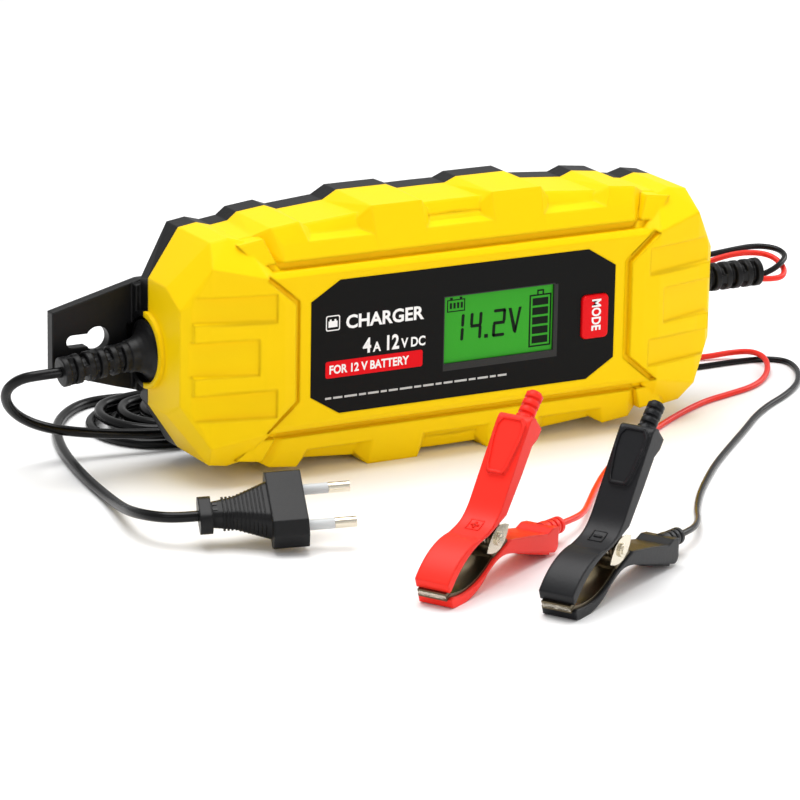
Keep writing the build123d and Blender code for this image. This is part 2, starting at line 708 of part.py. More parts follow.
def plug():
    """Flat two-pin mains plug."""
    with BuildPart() as body:
        with BuildSketch(plug_plane(0)):
            RectangleRounded(15.0, 9.6, 4.4)
        extrude(amount=4.6)
        with BuildSketch(plug_plane(4.6)):
            RectangleRounded(9.0, 8.0, 3.0)
        with BuildSketch(plug_plane(13.0)):
            RectangleRounded(12.0, 9.0, 3.4)
        loft()
        with BuildSketch(plug_plane(13.0)):
            RectangleRounded(12.0, 9.0, 3.4)
        with BuildSketch(plug_plane(PLUG_BLOCK)):
            RectangleRounded(22.0, 12.6, 4.0)
        loft()
        with BuildSketch(plug_plane(PLUG_BLOCK)):
            Polygon(*octagon((16.5, 7.0), (12.5, 3.2)), align=None)
        extrude(amount=PLUG_BODY - PLUG_BLOCK)
    save(body, "plug_body")
    spots = [(PIN_PITCH / 2, 0), (-PIN_PITCH / 2, 0)]
    with BuildPart() as pins:
        with BuildSketch(plug_plane(PLUG_BODY + PIN_SLEEVE)):
            with Locations(*spots):
                Circle(PIN_D / 2)
        extrude(amount=PIN_LENGTH - PIN_SLEEVE)
    save(pins, "plug_pins")
    with BuildPart() as sleeves:
        with BuildSketch(plug_plane(PLUG_BODY)):
            with Locations(*spots):
                Circle(PIN_D / 2)
        extrude(amount=PIN_SLEEVE)
    save(sleeves, "plug_pin_sleeves")


# ---------------------------------------------------------------- clamps
def clamp_frame(color):
    """The clamp's side view: local x runs from the nose to the pivot, local y is across the jaws."""
    heading = radians(CLAMP_HEADING)
    rise = radians(CLAMP_AXIS)
    along = Vector(cos(heading) * cos(rise), sin(heading) * cos(rise), sin(rise))
    sideways = Vector(sin(heading), -cos(heading), 0)
    return Plane(origin=(*CLAMP_NOSES[color], NOSE_HEIGHT), x_dir=along, z_dir=sideways)


def handle(name, frame, side):
    """One moulded handle: a curved cover over the jaw, then a straight grip with a cable boot."""

    def pt(s, t):
        return (s, side * t)

    with BuildPart() as half:
        with BuildSketch(frame):
            with BuildLine():
                Line(pt(0.4, 1.5), pt(0.4, 5.0))
                ThreePointArc(pt(0.4, 5.0), pt(11.0, 8.9), pt(25.0, 7.6))
                Spline(pt(25.0, 7.6), pt(34.0, 7.2), pt(42.5, 11.0), tangents=(pt(12, -1.6), pt(12, 8.4)))
                Line(pt(42.5, 11.0), pt(67.5, 28.4))
                ThreePointArc(pt(67.5, 28.4), pt(70.7, 28.7), pt(72.1, 26.4))
                Line(pt(72.1, 26.4), pt(74.2, 21.6))
                Line(pt(74.2, 21.6), pt(70.6, 19.6))
                Line(pt(70.6, 19.6), pt(66.4, 19.4))
                Line(pt(66.4, 19.4), pt(56.0, 12.8))
                Line(pt(56.0, 12.8), pt(43.0, 5.4))
                Line(pt(43.0, 5.4), pt(30.0, 5.4))
                ThreePointArc(pt(30.0, 5.4), pt(15.0, 6.2), pt(1.8, 1.5))
                Line(pt(1.8, 1.5), pt(0.4, 1.5))
            make_face()
        extrude(amount=CLAMP_WIDE / 2, both=True)
        turn = radians(BOOT_ANGLE)
        tail = Plane(origin=frame.from_local_coords((72.6, side * 23.8, 0)),
                     z_dir=frame.x_dir * cos(turn) + frame.y_dir * side * sin(turn))
        with BuildSketch(tail.offset(-1.5)):
            Circle(BOOT_R)
        extrude(amount=4.0)
        with BuildSketch(tail.offset(2.5)):
            Circle(2.3)
        extrude(amount=BOOT_LONG - 2.5)
        for i in range(3):
            with BuildSketch(tail.offset(3.9 + 3.1 * i)):
                Circle(BOOT_R - 0.2)
            extrude(amount=2.0)
        # thumb pad on the grip's outer face, wider towards the end
        grip = Vector(25.0, 17.4 * side, 0).normalized()
        out = Vector(-17.4 * side, 25.0, 0).normalized() * side
        pad = Plane(origin=frame.from_local_coords((42.5 + 21.0 * grip.X, side * 11.0 + 21.0 * grip.Y, 0)),
                    x_dir=frame.x_dir * grip.X + frame.y_dir * grip.Y,
                    z_dir=frame.x_dir * out.X + frame.y_dir * out.Y)
        with BuildSketch(pad.offset(-1.0)):
            Polygon((-11.0, 3.2), (-9.0, 4.2), (3.0, 6.0), (8.0, 6.0), (10.5, 4.2),
                    (10.5, -4.2), (8.0, -6.0), (3.0, -6.0), (-9.0, -4.2), (-11.0, -3.2), align=None)
        extrude(amount=1.9)
    save(half, name)
    return tail.origin + tail.z_dir * BOOT_LONG, tail.z_dir


def jaw(name, frame, side, ear_at, hole_r):
    """Sheet-metal jaw: a curved strip with a toothed lip and two ears round the pivot."""

    def pt(s, t):
        return (s, side * t)

    with BuildPart() as plate:
        with BuildSketch(frame):
            with BuildLine():
                Line(pt(-0.8, 0.15), pt(-0.8, 1.5))
                Line(pt(-0.8, 1.5), pt(1.8, 1.5))
                ThreePointArc(pt(1.8, 1.5), pt(15.0, 6.2), pt(30.0, 5.4))
                Line(pt(30.0, 5.4), pt(42.0, 5.4))
                Line(pt(42.0, 5.4), pt(42.0, 4.4))
                Line(pt(42.0, 4.4), pt(30.0, 4.4))
                ThreePointArc(pt(30.0, 4.4), pt(15.5, 5.2), pt(3.4, 0.9))
                Line(pt(3.4, 0.9), pt(2.2, 0.15))
                Line(pt(2.2, 0.15), pt(-0.8, 0.15))
            make_face()
        extrude(amount=JAW_WIDE / 2, both=True)
        for flip in (1, -1):
            with BuildSketch(frame.offset(flip * ear_at)):
                with Locations((PIVOT, 0)):
                    Circle(EAR_R)
                Polygon(pt(31.0, 5.0), pt(41.5, 5.0), pt(39.6, 1.5), pt(33.0, 1.5), align=None)
                with Locations((PIVOT, 0)):
                    Circle(hole_r, mode=Mode.SUBTRACT)
            extrude(amount=flip * SHEET)
    save(plate, name)


def pivot_pin(name, frame):
    with BuildPart() as pin:
        with BuildSketch(frame):
            with Locations((PIVOT, 0)):
                Circle(PIN_R)
        extrude(amount=PIN_HALF, both=True)
        for flip in (1, -1):
            with BuildSketch(frame.offset(flip * PIN_HALF)):
                with Locations((PIVOT, 0)):
                    Circle(2.5)
            extrude(amount=flip * 0.9)
            with BuildSketch(frame.offset(flip * (PIN_HALF + 0.9))):
                with Locations((PIVOT, 0)):
                    Circle(1.5)
            extrude(amount=flip * 0.5)
    save(pin, name)


def clamp_spring(name, frame):
    """Torsion spring round the pin, one leg against each handle."""
    coil_in = 1.9
    coil_out = 3.3
    turns = 5
    pitch = 1.3
    with BuildPart() as spring:
        for i in range(turns):
            with BuildSketch(frame.offset((i - turns / 2) * pitch)):
                with Locations((PIVOT, 0)):
                    Circle(coil_out)
                    Circle(coil_in, mode=Mode.SUBTRACT)
            extrude(amount=1.0)
            with BuildSketch(frame.offset((i - turns / 2) * pitch)):
                with Locations((PIVOT, 0)):
                    Circle(coil_out - 0.4)
                    Circle(coil_in, mode=Mode.SUBTRACT)
            extrude(amount=pitch if i < turns - 1 else 1.0)
        for side, z in ((-1, -turns * pitch / 2), (1, (turns / 2 - 1) * pitch)):
            with BuildSketch(frame.offset(z)):
                Polygon((36.5, side * 2.2), (36.5, side * 3.2), (43.0, side * 4.2), (51.0, side * 8.0),
                        (51.0, side * 6.9), (43.6, side * 3.4), align=None)
            extrude(amount=1.0)
    save(spring, name)


def clamp(color):
    """One battery clamp; returns where its lead enters the lower boot, and the way out of it."""
    frame = clamp_frame(color)
    end, way = handle(f"{color}_lower_handle", frame, -1)
    jaw(f"{color}_lower_jaw", frame, -1, LOWER_EAR, PIN_R)
    handle(f"{color}_upper_handle", frame, 1)
    jaw(f"{color}_upper_jaw", frame, 1, UPPER_EAR, PIN_R + 0.05)
    pivot_pin(f"{color}_pivot_pin", frame)
    clamp_spring(f"{color}_clamp_spring", frame)
    print(color, "boot end", end, "way", way, "pivot", frame.from_local_coords((PIVOT, 0, 0)),
          "axis", frame.z_dir)


# ---------------------------------------------------------------- cords
MAINS_START = [(-156.25, 12.6, 43.38), (-164.6, 13.2, 43.2), (-171.2, 17.8, 41.2), (-174.0, 24.0, 35.6),
               (-171.0, 30.0, 28.0), (-163.5, 34.5, 20.6), (-152.5, 37.5, 14.6), (-139.0, 38.2, 10.8),
               (-124.0, 36.2, 8.6), (-108.0, 34.0, 7.3), (-95.0, 32.5, 7.0)]
MAINS_END = [(-68.0, 93.4, 2.2), (-82.4, 98.0, 2.0), (-95.0, 101.0, 2.0), (-107.0, 99.8, 2.0),
             (-118.5, 91.0, 2.0), (-128.0, 78.6, 2.0), (-135.3, 63.0, 2.0), (-141.3, 44.0, 2.0),
             (-145.6, 24.0, 2.0), (-148.6, 5.0, 2.0), (-150.5, -12.0, 2.2), (-153.0, -28.0, 3.4),
             (-156.0, -42.0, 5.6), (-158.5, -55.0, 8.2), (-158.2, -65.0, 9.9), (-155.5, -71.5, 10.6),
             (-150.34, -76.24, 11.0), (-143.3, -78.8, 11.4)]
COIL_MIDS = [(-92.0, 62.0), (-42.0, 62.0)]
COIL_OUT = 33.5
COIL_IN = 14.0
COIL_TALL = 9.5

RED_START = [(155.1, 11.4, 45.3), (162.5, 11.3, 44.3), (169.0, 13.5, 44.4), (172.6, 19.0, 46.6),
             (171.5, 26.5, 49.8), (165.5, 32.0, 50.6), (156.0, 34.5, 50.0), (145.0, 38.0, 46.5),
             (137.5, 45.0, 39.0), (132.5, 54.0, 28.0), (129.0, 63.0, 16.0), (127.0, 72.0, 7.0),
             (126.0, 82.0, 3.7)]
RED_END = [(108.0, 64.0, 1.2), (119.0, 63.5, 1.2), (132.0, 59.5, 1.2), (145.0, 54.5, 1.3),
           (158.0, 51.8, 1.5), (168.0, 50.0, 2.6), (174.0, 43.5, 4.2), (174.5, 34.0, 4.4),
           (171.0, 25.0, 2.6), (163.0, 15.5, 1.2), (151.5, 6.5, 1.2), (137.0, 1.6, 1.2),
           (122.0, -3.0, 1.2), (105.0, -12.6, 1.2), (88.0, -24.0, 1.2), (71.0, -36.6, 1.2),
           (53.4, -50.8, 1.2), (35.0, -68.5, 1.2), (20.0, -86.0, 1.2), (7.0, -103.0, 2.2),
           (-3.5, -117.0, 4.2), (-13.14, -125.85, 5.79), (-22.64, -131.34, 6.56)]
BLACK_START = [(155.1, 14.0, 45.3), (162.5, 14.5, 46.6), (169.8, 17.0, 48.9), (175.8, 22.5, 50.4),
               (175.6, 30.2, 51.8), (168.5, 35.6, 52.2), (158.0, 38.5, 50.6), (144.0, 41.0, 48.5),
               (128.0, 42.5, 44.5), (113.0, 45.5, 38.0), (100.5, 50.5, 28.0), (91.5, 56.0, 15.0),
               (86.0, 61.0, 6.0), (84.0, 68.0, 3.7)]
BLACK_END = [(66.0, 50.0, 1.2), (80.0, 49.6, 1.2), (97.0, 47.0, 1.2), (114.0, 43.5, 1.2),
             (131.0, 41.3, 1.2), (148.0, 41.0, 1.2), (164.0, 41.5, 1.2), (178.0, 40.3, 1.2),
             (185.5, 34.0, 1.2), (183.5, 23.0, 1.2), (177.0, 11.0, 1.2), (168.0, 0.0, 1.2),
             (156.0, -10.0, 1.2), (142.0, -19.0, 1.2), (129.0, -29.5, 1.2), (116.5, -42.0, 1.2),
             (99.0, -58.6, 1.2), (80.4, -76.5, 1.2), (65.5, -93.0, 1.2), (52.0, -109.0, 1.2),
             (39.5, -127.0, 2.0), (29.5, -144.0, 4.2), (19.36, -155.85, 5.79), (9.86, -161.34, 6.56)]
LEAD_COILS = {"red": (108.0, 82.0), "black": (66.0, 68.0)}
LEAD_COIL_OUT = 19.4
LEAD_COIL_IN = 9.5
LEAD_COIL_TALL = 5.2


def coils():
    """The outer shape of the mains cord's loops and of the clamp leads' small coils."""
    (x0, y0), (x1, _) = COIL_MIDS
    with BuildPart() as loops:
        with BuildSketch(Plane.XY):
            with Locations(((x0 + x1) / 2, y0)):
                SlotCenterToCenter(x1 - x0, 2 * COIL_OUT)
                SlotCenterToCenter(x1 - x0, 2 * COIL_IN, mode=Mode.SUBTRACT)
        extrude(amount=COIL_TALL)
    save(loops, "mains_cord_coil")
    for color, mid in LEAD_COILS.items():
        with BuildPart() as ring:
            with BuildSketch(Plane.XY):
                with Locations(mid):
                    Circle(LEAD_COIL_OUT)
                    Circle(LEAD_COIL_IN, mode=Mode.SUBTRACT)
            extrude(amount=LEAD_COIL_TALL)
        save(ring, f"{color}_lead_coil")


def main():
    front_shell()
    rear_shell()
    shell_seal()
    display_label()
    window_stack()
    display_board()
    mode_button()
    main_board()
    transformer()
    standing_block("mains_capacitor", (-38.0, 14.0), (9.0, 18.0), 13.0)
    standing_cans("smoothing_capacitor", [(-42.0, -14.0)], 8.0, 22.0)
    standing_cans("output_capacitors", [(30.0, -14.0), (43.0, -14.0), (56.0, -14.0)], 5.0, 16.0)
    heat_sink()
    filter_choke()
    screws()
    print("mains gland tip", gland("mains_gland", -1, MAINS_GLAND_DROOP, MAINS_REACH))
    print("dc gland tip", gland("dc_gland", 1, 0, DC_REACH))
    plug()
    for color in CLAMP_NOSES:
        clamp(color)
    coils()
    cord_tube("mains_cord_start", MAINS_START, MAINS_CORD_D)
    cord_tube("mains_cord_end", MAINS_END, MAINS_CORD_D)
    cord_tube("red_lead_start", RED_START, DC_LEAD_D)
    cord_tube("red_lead_end", RED_END, DC_LEAD_D)
    cord_tube("black_lead_start", BLACK_START, DC_LEAD_D)
    cord_tube("black_lead_end", BLACK_END, DC_LEAD_D)


main()
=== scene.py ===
from math import cos, pi, radians, sin

import bmesh
import bpy
from mathutils import Matrix, Vector


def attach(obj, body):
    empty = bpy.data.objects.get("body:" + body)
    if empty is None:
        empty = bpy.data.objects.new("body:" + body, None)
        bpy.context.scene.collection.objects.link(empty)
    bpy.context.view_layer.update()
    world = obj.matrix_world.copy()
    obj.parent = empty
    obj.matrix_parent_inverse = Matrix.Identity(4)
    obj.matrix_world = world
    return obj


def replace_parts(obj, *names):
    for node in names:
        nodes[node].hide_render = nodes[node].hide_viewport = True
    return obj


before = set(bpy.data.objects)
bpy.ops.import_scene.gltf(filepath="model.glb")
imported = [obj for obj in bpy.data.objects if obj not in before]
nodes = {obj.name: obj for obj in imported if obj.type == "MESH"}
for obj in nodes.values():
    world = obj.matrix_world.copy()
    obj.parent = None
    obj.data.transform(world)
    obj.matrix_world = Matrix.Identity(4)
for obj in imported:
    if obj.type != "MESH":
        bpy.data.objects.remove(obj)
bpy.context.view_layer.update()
MM = 0.001
HOUSING_MID = (-2.9, -24.9, 51.14)      # middle of the label's face, in mm


# ---------------------------------------------------------------- camera
CAMERA_PLACE = (-0.8166, -1.4473, 0.5022)
CAMERA_TURN, CAMERA_DOWN, CAMERA_ROLL = 28.91, 16.31, 0.97
LENS, SENSOR = 198.92, 36.0


def add_camera():
    """A long lens, from the front left and a little above."""
    turn, down, roll = radians(CAMERA_TURN), radians(CAMERA_DOWN), radians(CAMERA_ROLL)
    forward = Vector((sin(turn) * cos(down), cos(turn) * cos(down), -sin(down)))
    right = Vector((cos(turn), -sin(turn), 0.0))
    up = right.cross(forward)
    x_axis = right * cos(roll) + up * sin(roll)
    y_axis = up * cos(roll) - right * sin(roll)
    turned = Matrix((x_axis, y_axis, -forward)).transposed().to_4x4()
    data = bpy.data.cameras.new("camera")
    data.lens, data.sensor_width = LENS, SENSOR
    data.clip_start, data.clip_end = 0.05, 20.0
    camera = bpy.data.objects.new("camera", data)
    camera.matrix_world = Matrix.Translation(CAMERA_PLACE) @ turned
    bpy.context.scene.collection.objects.link(camera)
    bpy.context.scene.camera = camera


# ---------------------------------------------------------------- materials
def made(name, color, rough, grain=600.0, bump=0.08, metal=0.0, coat=0.0, soft=0.0, shade=0.08,
         specular=0.5, glow=0.0):
    """A plastic or metal with a fine grain, slow changes of shade and gloss, and softened edges."""
    material = bpy.data.materials.new(name)
    material.use_nodes = True
    tree = material.node_tree
    shader = tree.nodes["Principled BSDF"]
    shader.inputs["Metallic"].default_value = metal
    shader.inputs["Coat Weight"].default_value = coat
    shader.inputs["Coat Roughness"].default_value = 0.12
    shader.inputs["Specular IOR Level"].default_value = specular
    place = tree.nodes.new("ShaderNodeTexCoord")
    slow = tree.nodes.new("ShaderNodeTexNoise")
    slow.inputs["Scale"].default_value = 22.0
    slow.inputs["Detail"].default_value = 3.0
    fine = tree.nodes.new("ShaderNodeTexNoise")
    fine.inputs["Scale"].default_value = grain
    fine.inputs["Detail"].default_value = 2.0
    tree.links.new(place.outputs["Object"], slow.inputs["Vector"])
    tree.links.new(place.outputs["Object"], fine.inputs["Vector"])
    tint = tree.nodes.new("ShaderNodeMix")
    tint.data_type = "RGBA"
    tint.inputs["A"].default_value = (*[value * (1 - shade) for value in color], 1.0)
    tint.inputs["B"].default_value = (*[min(1.0, value * (1 + shade)) for value in color], 1.0)
    tree.links.new(slow.outputs["Fac"], tint.inputs["Factor"])
    tree.links.new(tint.outputs["Result"], shader.inputs["Base Color"])
    gloss = tree.nodes.new("ShaderNodeMapRange")
    gloss.inputs["To Min"].default_value = max(0.02, rough - 0.07)
    gloss.inputs["To Max"].default_value = rough + 0.07
    tree.links.new(slow.outputs["Fac"], gloss.inputs["Value"])
    tree.links.new(gloss.outputs["Result"], shader.inputs["Roughness"])
    relief = tree.nodes.new("ShaderNodeBump")
    relief.inputs["Strength"].default_value = bump
    relief.inputs["Distance"].default_value = 0.0002
    tree.links.new(fine.outputs["Fac"], relief.inputs["Height"])
    if soft:
        edge = tree.nodes.new("ShaderNodeBevel")
        edge.samples = 6
        edge.inputs["Radius"].default_value = soft * MM
        tree.links.new(edge.outputs["Normal"], relief.inputs["Normal"])
    tree.links.new(relief.outputs["Normal"], shader.inputs["Normal"])
    if glow:
        tree.links.new(tint.outputs["Result"], shader.inputs["Emission Color"])
        shader.inputs["Emission Strength"].default_value = glow
    return material


def make_materials():
    """The materials of the record's slots, then those of the prints and teeth."""
    return {
        "yellow_housing": made("yellow_housing", (0.90, 0.600, 0.0006), 0.42, 900, 0.10, soft=1.8,
                               shade=0.03, specular=0.09),
        "black_housing": made("black_housing", (0.0034, 0.0034, 0.0038), 0.40, 500, 0.35, soft=1.0,
                              specular=0.22),
        "black_cable": made("black_cable", (0.0016, 0.0016, 0.0018), 0.26, 500, 0.06, specular=0.22),
        "red_cable": made("red_cable", (0.76, 0.022, 0.010), 0.34, 500, 0.06, specular=0.25),
        "red_grip": made("red_grip", (0.93, 0.026, 0.014), 0.40, 650, 0.14, soft=1.3, shade=0.04,
                         specular=0.2),
        "black_grip": made("black_grip", (0.0050, 0.0052, 0.0066), 0.38, 650, 0.18, soft=1.3,
                           specular=0.24),
        "nickel_steel": made("nickel_steel", (0.72, 0.66, 0.54), 0.22, 260, 0.12, metal=1.0, soft=0.3),
        "jaw_steel": made("jaw_steel", (0.13, 0.105, 0.065), 0.32, 260, 0.2, metal=1.0, soft=0.3),
        "pin_sleeve": made("pin_sleeve", (0.55, 0.57, 0.57), 0.45, 600, 0.1, soft=0.3),
        "label_black": made("label_black", (0.0034, 0.0034, 0.0031), 0.42, 1200, 0.04, specular=0.10),
        "button_red": made("button_red", (0.74, 0.0012, 0.0045), 0.34, 900, 0.05, soft=0.7, shade=0.03,
                           specular=0.15),
        "clear_lens": made("clear_lens", (0.030, 0.300, 0.016), 0.20, 1500, 0.02, coat=0.03, shade=0.04,
                           specular=0.12, glow=0.12),
        "lcd_green": made("lcd_green", (0.06, 0.45, 0.04), 0.3, 900, 0.02, shade=0.04),
        "circuit_board": made("circuit_board", (0.012, 0.14, 0.045), 0.35, 300, 0.15, coat=0.3),
        "component_black": made("component_black", (0.02, 0.02, 0.02), 0.55, 500, 0.2),
        "winding_copper": made("winding_copper", (0.72, 0.30, 0.12), 0.3, 250, 0.4, metal=1.0),
        "winding_tape": made("winding_tape", (0.75, 0.52, 0.06), 0.45, 300, 0.1),
        "capacitor_sleeve": made("capacitor_sleeve", (0.015, 0.025, 0.08), 0.3, 400, 0.08),
        "sink_aluminium": made("sink_aluminium", (0.70, 0.71, 0.73), 0.35, 350, 0.2, metal=1.0),
        "fuse_glass": made("fuse_glass", (0.78, 0.79, 0.80), 0.15, 300, 0.05, metal=0.8),
        "seal_rubber": made("seal_rubber", (0.012, 0.012, 0.012), 0.7, 400, 0.2),
        "print_white": made("print_white", (0.88, 0.88, 0.86), 0.4, 900, 0.04, shade=0.02),
        "print_grey": made("print_grey", (0.50, 0.50, 0.48), 0.4, 900, 0.04, shade=0.02),
        "print_red": made("print_red", (0.74, 0.0012, 0.0060), 0.40, 900, 0.04, shade=0.03,
                          specular=0.12),
        "print_dark": made("print_dark", (0.004, 0.010, 0.004), 0.5, 900, 0.04, specular=0.1),
        # dark for the display's rim, and for the strips of painted shadow along its bottom and right
        "rim_and_painted_shadow": made("rim_and_painted_shadow", (0.022, 0.022, 0.021), 0.40, 900, 0.04, specular=0.2),
        "teeth": made("teeth", (0.80, 0.74, 0.62), 0.25, 260, 0.1, metal=1.0),
    }


SLOT_OF = {}
for slot_name, members in {
        "yellow_housing": "front_shell", "nickel_steel": "case_screws board_screws plug_pins",
        "pin_sleeve": "plug_pin_sleeves", "label_black": "display_label", "button_red": "mode_button",
        "clear_lens": "display_lens", "lcd_green": "display_glass display_backlight",
        "circuit_board": "display_board main_board",
        "component_black": "mode_switch switch_plunger board_header power_transistors transformer_core",
        "winding_copper": "filter_choke", "winding_tape": "transformer_winding mains_capacitor",
        "capacitor_sleeve": "smoothing_capacitor output_capacitors", "sink_aluminium": "heat_sink",
        "fuse_glass": "line_fuse", "seal_rubber": "shell_seal"}.items():
    for member in members.split():
        SLOT_OF[member] = slot_name


def slot_of(name):
    """The record's material slot of a CAD node."""
    if name in SLOT_OF:
        return SLOT_OF[name]
    color = name.split("_")[0]
    if name.endswith(("jaw", "pivot_pin", "clamp_spring")):
        return "nickel_steel"
    if name.endswith("handle"):
        return f"{color}_grip"
    if "_lead_" in name:
        return f"{color}_cable"
    return "black_cable" if name.startswith("mains_cord") else "black_housing"


def paint(piece, material):
    piece.data.materials.clear()
    piece.data.materials.append(material)


# ---------------------------------------------------------------- added solids
def at(x, y, z):
    """A point given from the middle of the label's face, y going back from it, in metres."""
    return Vector((HOUSING_MID[0] + x, HOUSING_MID[1] + y, HOUSING_MID[2] + z)) * MM


def solid(name, points, faces, material, body="charger"):
    """A new mesh piece that moves with a body."""
    mesh = bpy.data.meshes.new(name)
    mesh.from_pydata([tuple(point) for point in points], [], faces)
    bm = bmesh.new()
    bm.from_mesh(mesh)
    bmesh.ops.recalc_face_normals(bm, faces=bm.faces)
    bm.to_mesh(mesh)
    bm.free()
    piece = bpy.data.objects.new(name, mesh)
    bpy.context.scene.collection.objects.link(piece)
    paint(piece, material)
    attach(piece, body)
    return piece


class Stack:
    """Collects prisms on one plane, which become one piece."""

    def __init__(self, origin, across, up, out):
        self.origin, self.across, self.up, self.out = origin, across, up, out
        self.points, self.faces = [], []

    def place(self, x, y, height):
        return self.origin + (self.across * x + self.up * y + self.out * height) * MM

    def prism(self, outline, low, high):
        """A prism over a convex outline."""
        first, count = len(self.points), len(outline)
        self.points += [self.place(x, y, height) for height in (low, high) for x, y in outline]
        self.faces += [list(range(first, first + count)), list(range(first + count, first + 2 * count))]
        for i in range(count):
            j = (i + 1) % count
            self.faces.append([first + i, first + j, first + count + j, first + count + i])

    def ring(self, outer, inner, low, high):
        """The band between two outlines with the same number of corners."""
        for i in range(len(outer)):
            j = (i + 1) % len(outer)
            self.prism([outer[i], outer[j], inner[j], inner[i]], low, high)

    def box(self, left, right, bottom, top, low, high):
        self.prism([(left, bottom), (right, bottom), (right, top), (left, top)], low, high)

    def finish(self, name, material, slot, body="charger"):
        return solid(name, self.points, self.faces, material, body)


def label_stack():
    """Positions on the label: x from the middle, z from mid-height, height in front of it."""
    return Stack(at(0, -0.1, 0), Vector((1, 0, 0)), Vector((0, 0, 1)), Vector((0, -1, 0)))


def rounded(left, right, bottom, top, radius, steps=5):
    """Corners of a rectangle with round corners."""
    outline = []
    for cx, cy, begin in ((right - radius, top - radius, 0),
                          (left + radius, top - radius, 90),
                          (left + radius, bottom + radius, 180),
                          (right - radius, bottom + radius, 270)):
        for i in range(steps + 1):
            angle = radians(begin + 90 * i / steps)
            outline.append((cx + radius * cos(angle), cy + radius * sin(angle)))
    return outline


def words(name, text, size, x, z, height, material, align="LEFT", down=False, wide=1.0,
          body="charger"):
    """Printed words, lying just over the label."""
    curve = bpy.data.curves.new(name, "FONT")
    curve.body, curve.size, curve.align_x = text, size, align
    curve.extrude = 0.03
    curve.offset = 0.028 * size
    curve.resolution_u = 3
    shape = bpy.data.objects.new(name, curve)
    mesh = bpy.data.meshes.new_from_object(shape)
    points = []
    for vertex in mesh.vertices:
        a, b, c = vertex.co
        a *= wide
        across, up = (b, -a) if down else (a, b)
        points.append(at(x + across, -0.1 - height - c, z + up))
    faces = [list(polygon.vertices) for polygon in mesh.polygons]
    bpy.data.objects.remove(shape)
    bpy.data.meshes.remove(mesh)
    bpy.data.curves.remove(curve)
    return solid(name, points, faces, material, body)


# ---------------------------------------------------------------- label, display and button
BAR_THICK = 1.25            # of a digit's bars
LEAN = 0.05                 # of a digit, across for each step up


def digit(stack, letters, left, bottom, wide, tall, low, high):
    """A seven-segment digit, leaning a little; its bars are lettered a to g in the usual way."""
    half = BAR_THICK / 2
    mid = tall / 2
    bars = {"a": (0, tall, wide, tall), "b": (wide, mid, wide, tall), "c": (wide, 0, wide, mid),
            "d": (0, 0, wide, 0), "e": (0, 0, 0, mid), "f": (0, mid, 0, tall),
            "g": (0, mid, wide, mid)}
    for letter in letters:
        x0, z0, x1, z1 = bars[letter]
        if z0 == z1:
            level = min(max(z0, half), tall - half)
            shape = [(x0 + 0.5, level - half), (x0 + 0.1, level), (x0 + 0.5, level + half),
                     (x1 - 0.5, level + half), (x1 - 0.1, level), (x1 - 0.5, level - half)]
        else:
            level = max(half, x0 - half)
            shape = [(level - half, z0 + 0.6), (level, z0 + 0.2), (level + half, z0 + 0.6),
                     (level + half, z1 - 0.6), (level, z1 - 0.2), (level - half, z1 - 0.6)]
        stack.prism([(left + x + z * LEAN, bottom + z) for x, z in shape], low, high)


def add_label(paints):
    """The label's prints: a battery mark, plain words, a red bar, dashes, and the display's rim, with
    painted shadow as dark strips along its bottom and right.
    """
    white, slot = paints["print_white"], "label_black"
    mark = label_stack()
    frame_out = rounded(-60.7, -54.7, 6.6, 12.6, 0.7, 2)
    frame_in = rounded(-60.3, -55.1, 7.0, 12.2, 0.5, 2)
    mark.ring(frame_out, frame_in, 0.0, 0.06)
    mark.box(-59.6, -55.8, 8.0, 10.4, 0.0, 0.06)
    mark.box(-59.1, -58.3, 10.4, 11.1, 0.0, 0.06)
    mark.box(-57.1, -56.3, 10.4, 11.1, 0.0, 0.06)
    mark.finish("label_mark", white, slot)
    words("label_title", "CHARGER", 7.2, -52.2, 6.9, 0.03, white, wide=1.02)
    words("label_amps", "4", 8.0, -44.6, -3.6, 0.03, white, wide=0.86)
    words("label_amps_unit", "A", 5.2, -40.2, -3.6, 0.03, white, wide=0.9)
    words("label_volts", "12", 8.0, -35.4, -3.6, 0.03, white, wide=0.80)
    words("label_volts_unit", "V DC", 5.2, -28.0, -3.6, 0.03, white, wide=0.86)
    bar = label_stack()
    bar.prism(rounded(-60.7, -18.7, -12.0, -5.4, 0.9), 0.0, 0.06)
    bar.finish("label_bar", paints["print_red"], slot)
    words("label_bar_words", "FOR 12 V BATTERY", 4.6, -59.2, -10.3, 0.09, white, wide=0.88)
    small = label_stack()
    left = -60.7
    for i in range(17):
        wide = (2.6, 3.9, 5.4, 3.0, 4.6)[i % 5]
        small.box(left, left + wide, -20.3, -19.5, 0.0, 0.05)
        left += wide + 0.9
    small.finish("label_line", paints["print_grey"], slot)
    rim = label_stack()
    # dark strips along the rim's bottom and right: painted shadow of the display's recess
    rim.box(-9.7, 41.1, -15.3, -12.9, -0.05, 0.05)
    rim.box(39.7, 41.1, -12.9, 13.9, -0.05, 0.05)
    rim.ring(rounded(-9.72, 39.72, -12.92, 14.42, 0.1, 1), rounded(-9.3, 39.3, -12.5, 14.0, 0.1, 1),
             -1.0, 0.04)
    rim.finish("display_rim_and_painted_shadow", paints["rim_and_painted_shadow"], slot)


